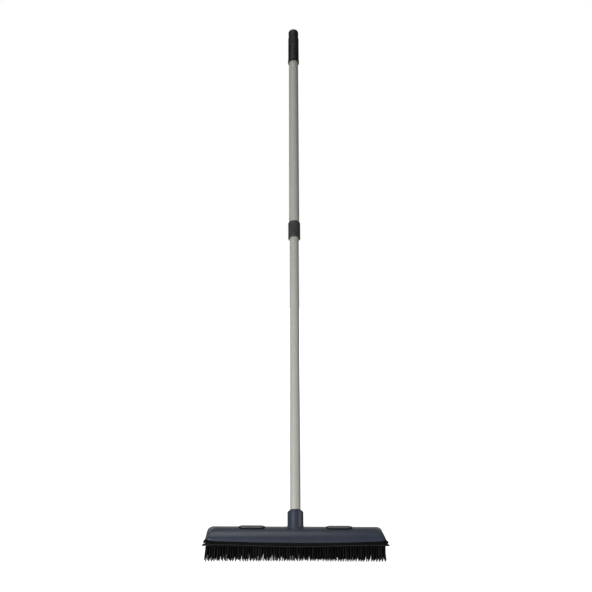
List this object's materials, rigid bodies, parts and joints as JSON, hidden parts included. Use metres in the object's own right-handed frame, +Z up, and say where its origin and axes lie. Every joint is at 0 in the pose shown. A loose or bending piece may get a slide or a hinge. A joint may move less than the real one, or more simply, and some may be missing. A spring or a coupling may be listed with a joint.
{
  "type": "rubber bristle broom",
  "caption": "Rubber-bristled carpet broom: a low arched head with a squeegee edge on a leaning two-section twist-lock pole, used to rake hair and fluff from carpets.",
  "frame": {"origin": "on the floor, at the bristle tip under the middle of the head", "axes": "+X along the head, to the right as seen from the squeegee side; +Y backwards, the way the pole leans; +Z up, along the pole's height"},
  "size_m": [0.3274, 0.6182, 1.1116],
  "materials": {
    "slate_plastic": "satin moulded slate blue-grey polypropylene",
    "black_plastic": "plain moulded black polypropylene",
    "black_rubber": "matt black thermoplastic rubber",
    "bristle_rubber": "matt black thermoplastic rubber, soft",
    "grey_plastic": "satin dark grey moulding",
    "collar_plastic": "satin charcoal moulding",
    "grip_plastic": "fine-grained black moulding",
    "tube_paint": "warm light grey powder coat on thin steel tube",
    "natural_plastic": "uncoloured moulded plastic",
    "red_plastic": "moulded red plastic",
    "screw_steel": "bright zinc-plated steel"
  },
  "bodies": {
    "lower": {"housing": "slate_plastic", "carrier_plate": "black_plastic", "rubber_mat": "black_rubber", "squeegee": "black_rubber", "oval_plug_left": "grey_plastic", "oval_plug_right": "grey_plastic", "plug_seals": "black_rubber", "cover_screws": "screw_steel", "pole_tip": "black_plastic", "lower_tube": "tube_paint", "lock_spindle": "natural_plastic", "lock_stop": "screw_steel", "bristle_row_1": "bristle_rubber", "bristle_row_2": "bristle_rubber", "bristle_row_3": "bristle_rubber", "bristle_row_4": "bristle_rubber", "bristle_row_5": "bristle_rubber", "bristle_row_6": "bristle_rubber", "bristle_row_7": "bristle_rubber", "bristle_row_8": "bristle_rubber", "bristle_row_9": "bristle_rubber", "bristle_row_10": "bristle_rubber", "bristle_row_11": "bristle_rubber"},
    "expander": {"lock_expander": "red_plastic"},
    "cone": {"lock_cone": "natural_plastic"},
    "upper": {"collar": "collar_plastic", "guide_bush": "natural_plastic", "upper_tube": "tube_paint", "grip": "grip_plastic", "hanging_cap": "grip_plastic"}
  },
  "joints": [
    {"name": "lock_twist", "type": "hinge", "parent": "lower", "child": "expander", "pos_m": [0, 0.3391, 0.66775], "axis": [0, 0.4695, 0.8829], "range_deg": [0, 180]},
    {"name": "cone_travel", "type": "slide", "parent": "expander", "child": "cone", "axis": [0, 0.4695, 0.8829], "range_m": [0, 0.0015]},
    {"name": "telescope", "type": "slide", "parent": "expander", "child": "upper", "axis": [0, 0.4695, 0.8829], "range_m": [-0.415, 0.06]}
  ],
  "couplings": [
    {"joint": "cone_travel", "follows": "lock_twist", "m_per_rad": 0.00047746}
  ]
}
